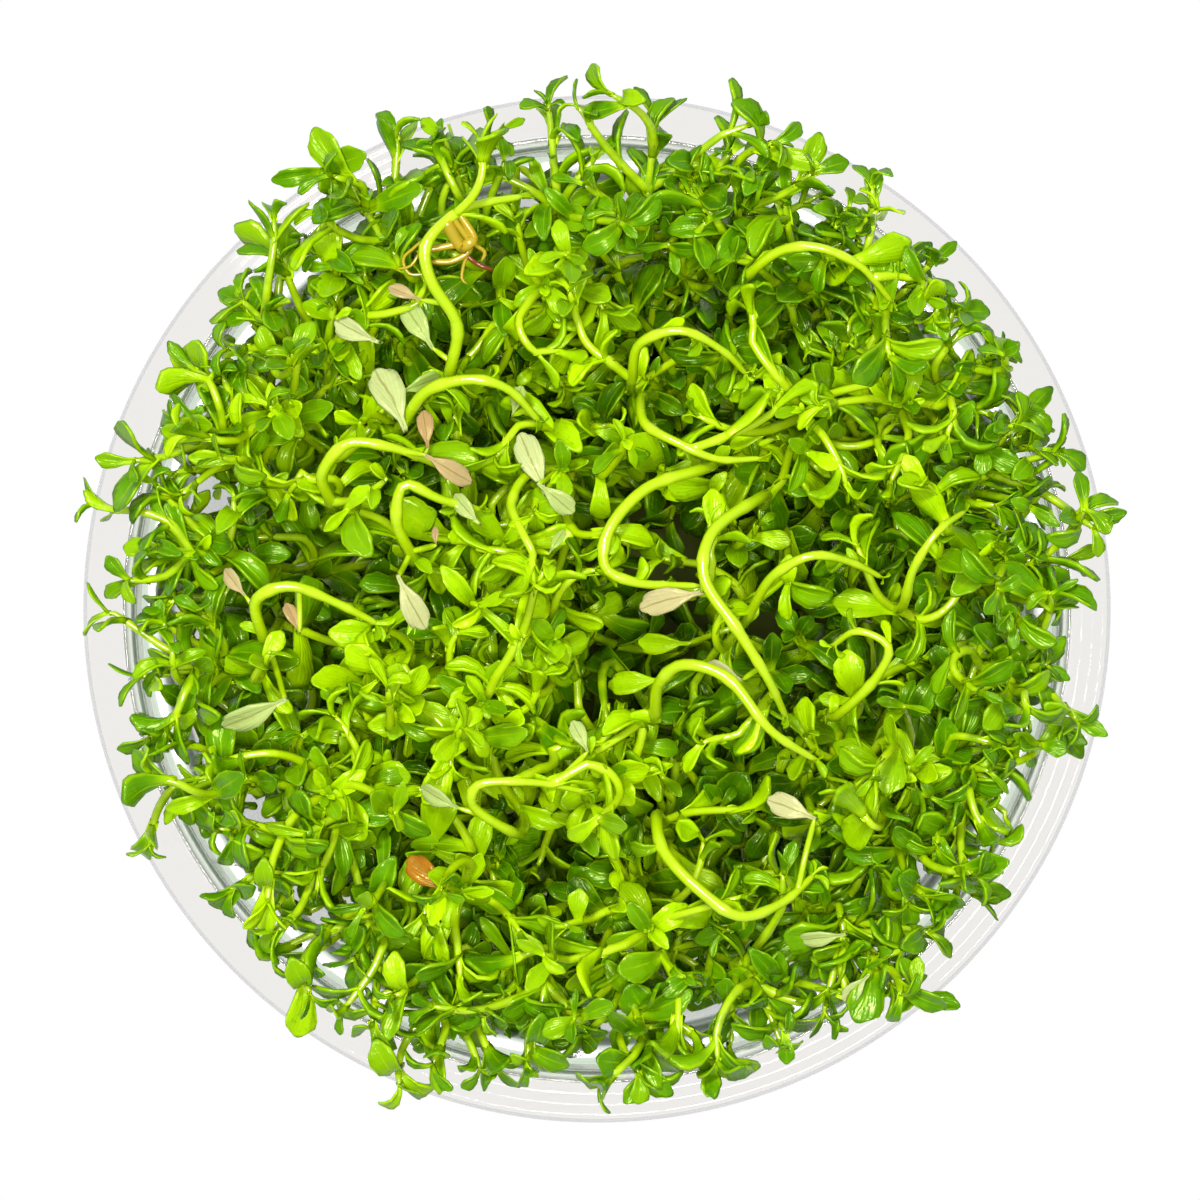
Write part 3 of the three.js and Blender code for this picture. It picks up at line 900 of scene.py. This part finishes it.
def grow_root(growth, path, thick, thin, age, *points):
    """An air root that lies where the photo shows it and goes back to its stem."""
    points = [np.array(point) * MM for point in points]
    away, back = path.nearest(points[0])
    start = path.at(back)[0]
    if away > thick * MM:
        points.insert(0, start)
    root = Stem(smooth_path(points, ROOT_STEP))
    growth.stem(root, thick * MM, thin * MM, age=age, sides=6)


def foot_of(node):
    """Where a shoot stands in the gel: the middle of its solid's lowest points."""
    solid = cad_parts[node]
    points = np.array([vert.co[:] for vert in solid.data.vertices])
    lowest = points[points[:, 2] < points[:, 2].min() + 0.5 * MM]
    return (lowest.min(axis=0) + lowest.max(axis=0)) / 2


def shoot_path(node, points):
    """The shoot's own course: up from its foot, leaning to where its arch or tip begins."""
    foot = foot_of(node)
    points = [np.array(point) * MM for point in points]
    bends = []
    for height, share in COURSE_BENDS:
        bend = foot + (points[0] - foot) * share
        bend[2] = height * MM
        bends.append(bend)
    return Stem(smooth_path([foot, *bends, *points], PATH_STEP))


def grow_shoot(path, order, thick, tone, side_shoots, spacing, full, outward, loss):
    """One whole shoot. The rim's shoots lean their side shoots outwards, and darken with X."""
    growth = Growth(order)
    chance = growth.random
    if outward:
        tone -= EAST_SHADE * path.points[-1][0] / LIP_RADIUS
    pairs, travelled = [], 0.0
    for internode in INTERNODES:
        pairs.append((travelled + (1 - NODE_SHARE) * internode) * MM)
        travelled += internode
    while pairs[-1] + spacing < path.length - BARE_FOOT:
        pairs.append(pairs[-1] + chance.uniform(0.8, 1.2) * spacing)
    sizes = [0.65 * full, 0.85 * full, full, full, 0.9 * full]
    growth.stem(path, thick, 0.55 * thick, pairs, tone)
    twist = order * GOLDEN_ANGLE
    buds = [0.1 * MM, 0.5 * MM]
    leaf_tone = min(tone, LIGHTEST_LEAF)
    grow_leaves(growth, path, twist + 0.8, buds, [1.2 * MM, 2.0 * MM], leaf_tone)
    grow_leaves(growth, path, twist, pairs, sizes, leaf_tone, loss)
    for pair, back in enumerate(pairs[1:], start=1):
        start = path.at(back)[0]
        if start[2] < SIDE_SHOOT_FLOOR:
            break
        for half in (0, math.pi):
            if chance.random() < side_shoots:
                bearing = twist + pair * math.pi / 2 + half
                reach = math.hypot(start[0], start[1]) / LIP_RADIUS
                length = chance.uniform(8, 23 - 12 * reach) * MM
                grow_side_shoot(growth, path, back, bearing, length, leaf_tone, outward)
    if outward:
        for turn in EDGE_TURNS:
            back = chance.uniform(*EDGE_BACK) * MM
            reach = chance.uniform(*EDGE_REACH) * MM
            height = chance.uniform(*EDGE_HEIGHT) * MM
            turn = rad(turn + chance.gauss(0, 1.5))
            grow_edge_shoot(growth, path, back, turn, reach, height, tone)
    for height in LOW_SHOOT_HEIGHTS:
        grow_low_shoot(growth, path, chance.gauss(height, 2) * MM)
    return growth


# The leaves' skin: green by tone and patchy, with a paler stalk and midrib. Its paler rim is a
# painted rim light, and the darkest tones, on leaves low in the cup, are painted shade. An old
# leaf has lost its green and shows its nerves.
DARK_GREEN = (0.060, 0.185, 0.0003, 1)
LIGHT_GREEN = (0.35, 0.57, 0.0005, 1)
SHADED_GREEN = (0.018, 0.07, 0.0002, 1)
BLOTCH_GREEN = (0.18, 0.38, 0.001, 1)
GRAIN_GREEN = (0.09, 0.26, 0.001, 1)
LIME = (0.36, 0.58, 0.002, 1)
NERVE_BROWN = (0.16, 0.13, 0.03, 1)
BLOTCH_SCALE = 420.0
GRAIN_SCALE = 1900.0
VEINS_ACROSS = 26
VEINS_ALONG = 20

leaf_skin, shade = new_material(
    "leaf_skin", Base_Color=(0.14, 0.34, 0.002, 1), Specular_IOR_Level=0.4,
    Specular_Tint=(0.85, 1.0, 0.35, 1),
)
facts = shade.attribute("growth", 1)
age = shade.attribute("age", 2)
across, along, tone = facts.part(0), facts.part(1), facts.part(2)
place = shade.object_place()
blotch = shade.noise(place, BLOTCH_SCALE, 2.0)
grain = shade.noise(place, GRAIN_SCALE, 1.0)
green = tone.step(-0.1, 1.1).mix(DARK_GREEN, LIGHT_GREEN)
# Painted shade: the lowest tones, on leaves low in the cup, go near-black green.
green = (tone + 1.0).step(0, 0.7).mix(SHADED_GREEN, green)
green = ((blotch - 0.4).step(0, 0.5) * 0.6).mix(green, BLOTCH_GREEN)
green = (grain - 0.55).step(0, 0.4).mix(green, GRAIN_GREEN)
midrib = (1 - across.absolute().step(0.02, 0.12)) * (1 - along.step(0.5, 1.0)) * 0.3
stalk = 1 - along.step(0.02, 0.42)
# Painted rim light: the leaf's edge is painted paler.
rim = across.absolute().step(0.8, 1.0) * 0.3
lime = midrib.maths("MAXIMUM", midrib, stalk)
lime = lime.maths("MAXIMUM", lime, rim)
green = lime.mix(green, LIME)
slant = across.absolute() * VEINS_ACROSS - along * VEINS_ALONG
veins = slant.maths("SINE", slant)
nerve = across + blotch * 0.4 - 0.2
nerve = 1 - nerve.absolute().step(0.03, 0.12)
nerve = nerve.maths("MAXIMUM", nerve, veins.step(0.4, 1.0) * 0.3)
pale = age.node("ShaderNodeValToRGB", None, {0: age})
stops = pale.socket.node.color_ramp.elements
stops[0].color, stops[1].color = AGEING[0][1], AGEING[-1][1]
for reached, colour in AGEING:
    stops.new(reached).color = colour
pale = ((grain * 0.4 + nerve).step(0.1, 1.3) * 0.6).mix(pale, NERVE_BROWN)
skin = age.step(0.3, 0.45).mix(green, pale)
relief = midrib * -1.0 + blotch * 1.2 + grain * 0.35 + veins * 0.05
drive(
    leaf_skin, Base_Color=skin, Roughness=0.14 + grain * 0.2,
    Normal=shade.bump(relief, 0.7, 0.18 * MM),
)

# The stems' skin: juicy and yellow-green, palest at the nodes. The air roots have turned tan
# and brown.
DARK_STEM = (0.17, 0.32, 0.001, 1)
LIGHT_STEM = (0.36, 0.54, 0.001, 1)
NODE_LIME = (0.45, 0.62, 0.02, 1)
ROOT_TAN = (0.36, 0.26, 0.012, 1)
ROOT_BROWN = (0.13, 0.022, 0.003, 1)
STREAK_SCALE = 600.0
BEAD_SCALE = 2.6

stem_skin, shade = new_material(
    "stem_skin", Base_Color=(0.32, 0.52, 0.001, 1), Specular_IOR_Level=1.0,
    Specular_Tint=(1.0, 1.0, 0.85, 1),
)
facts = shade.attribute("growth", 1)
age = shade.attribute("age", 2)
node_ring, back, tone = facts.part(0), facts.part(1), facts.part(2)
streak = shade.noise(shade.object_place(), STREAK_SCALE, 1.0)
cells = {"W": back, "Scale": BEAD_SCALE, "Detail": 1.0}
beads = back.node("ShaderNodeTexNoise", {"noise_dimensions": "1D"}, cells)
juice = tone.step(-0.1, 1.0).mix(DARK_STEM, LIGHT_STEM)
juice = (streak - 0.3).step(0, 0.5).mix(juice, LIGHT_STEM)
juice = (node_ring * 0.4).mix(juice, NODE_LIME)
juice = age.step(0.6, 0.9).mix(juice, ROOT_TAN)
juice = age.step(0.95, 1.0).mix(juice, ROOT_BROWN)
drive(
    stem_skin, Base_Color=juice, Roughness=0.15 + streak * 0.12 + beads * 0.06,
    Normal=shade.bump(streak * 0.7 + beads * 0.3, 0.4, 0.16 * MM),
)

# The course of each shoot.
paths = {}
for node, points in RUNNERS.items():
    paths[node] = shoot_path(node, points)
for number, (bearing, reach, height) in enumerate(RIM_TIPS, start=1):
    node = f"rim_shoot_{number:02d}"
    angle = rad(bearing)
    lean = min(reach - RIM_RUN, RIM_CROSSING[0])
    points = [(lean * math.cos(angle), lean * math.sin(angle), RIM_CROSSING[1])]
    points += [(reach * math.cos(angle), reach * math.sin(angle), height)]
    paths[node] = shoot_path(node, points)
for number, (x, y, height) in enumerate(INNER_TIPS, start=1):
    node = f"inner_shoot_{number:02d}"
    paths[node] = shoot_path(node, [(x, y, height - INNER_RISE), (x, y, height)])

# What lies on top and stays in sight: the arches, the old leaves and the air roots.
open_points = [path.points for node, path in paths.items() if node.startswith("runner")]
for x, y, z, bearing, length, _ in OLD_LEAVES:
    out = np.array([math.cos(rad(bearing)), math.sin(rad(bearing)), 0])
    reach = np.linspace(0.2, 0.9, 4)[:, None] * length
    open_points.append((np.array([x, y, z]) + out * reach) * MM)
open_points += [np.array(points) * MM for _, _, _, *points in ROOTS]
open_points = np.concatenate(open_points)
open_points = open_points[open_points[:, 2] > OPEN_ABOVE]

# All shoots are grown, then the old leaves and the air roots on them, and each is placed.
shoots = {}
for order, (node, path) in enumerate(paths.items()):
    thick = STOUT if node in STOUT_SHOOTS else SLENDER
    shoots[node] = grow_shoot(path, order, thick, *HABITS[node.split("_")[0]])
for x, y, z, bearing, length, age in OLD_LEAVES:
    goal = np.array([x, y, z]) * MM
    node = min(paths, key=lambda name: paths[name].nearest(goal)[0])
    grow_old_leaf(shoots[node], paths[node], goal, rad(bearing), length * MM, age)
for root in ROOTS:
    grow_root(shoots["runner_hook"], paths["runner_hook"], *root)
for node, growth in shoots.items():
    mesh = growth.mesh(node)
    name = node.replace("_shoot", "_rotala").replace("runner", "arching_rotala")
    place_piece(name, mesh, [stem_skin, leaf_skin], [node])


# The studio: a plain white floor, soft light from all round and two wide lamps overhead. The
# camera looks straight down, with the cup a little left of and below the frame's middle.
FLOOR_HALF_WIDTH = 3.0
AIR_COLOUR = (0.52, 0.52, 0.34, 1)
LAMP_COLOUR = (1, 1, 0.97)
NEAREST_SEEN = 0.01
FRAME_PIXELS = 1200
PIXEL = 0.0973 * MM
CUP_CENTRE_PIXEL = (597, 609)
CAMERA_ABOVE_RIM = 600 * MM
SENSOR = 36.0

bm = bmesh.new()
bmesh.ops.create_grid(bm, x_segments=1, y_segments=1, size=FLOOR_HALF_WIDTH)
floor_mesh = bpy.data.meshes.new("floor")
bm.to_mesh(floor_mesh)
bm.free()
floor = bpy.data.objects.new("floor", floor_mesh)
bpy.context.scene.collection.objects.link(floor)
floor_paint, _ = new_material(
    "floor_paint", Base_Color=(0, 0, 0, 1), Roughness=1.0, Specular_IOR_Level=0.0,
    Emission_Color=(1, 1, 1, 1), Emission_Strength=1.0,
)
floor_mesh.materials.append(floor_paint)

world = bpy.data.worlds.new("studio_air")
world.use_nodes = True
world.node_tree.nodes["Background"].inputs["Color"].default_value = AIR_COLOUR
bpy.context.scene.world = world


def lamp(name, bearing, rise, size, watts):
    """A round lamp one metre from the middle of the cup's rim, and facing it."""
    light = bpy.data.lights.new(name, "AREA")
    light.shape = "DISK"
    light.size = size
    light.energy = watts
    light.color = LAMP_COLOUR
    holder = bpy.data.objects.new(name, light)
    away = Vector((math.cos(bearing) * math.cos(rise), math.sin(bearing) * math.cos(rise),
                   math.sin(rise)))
    holder.location = away + Vector((0, 0, CUP_HEIGHT))
    holder.rotation_euler = away.to_track_quat("Z", "Y").to_euler()
    bpy.context.scene.collection.objects.link(holder)


lamp("key_lamp", rad(125), rad(68), 0.15, 10)
lamp("front_lamp", rad(300), rad(85), 0.25, 8.5)

lens = bpy.data.cameras.new("camera")
lens.sensor_width = SENSOR
lens.lens = SENSOR * CAMERA_ABOVE_RIM / (FRAME_PIXELS * PIXEL)
lens.clip_start = NEAREST_SEEN
camera = bpy.data.objects.new("camera", lens)
middle = FRAME_PIXELS / 2
camera.location = (
    (middle - CUP_CENTRE_PIXEL[0]) * PIXEL,
    (CUP_CENTRE_PIXEL[1] - middle) * PIXEL,
    CUP_HEIGHT + CAMERA_ABOVE_RIM,
)
bpy.context.scene.collection.objects.link(camera)
bpy.context.scene.camera = camera
bpy.context.scene.view_settings.view_transform = "Standard"
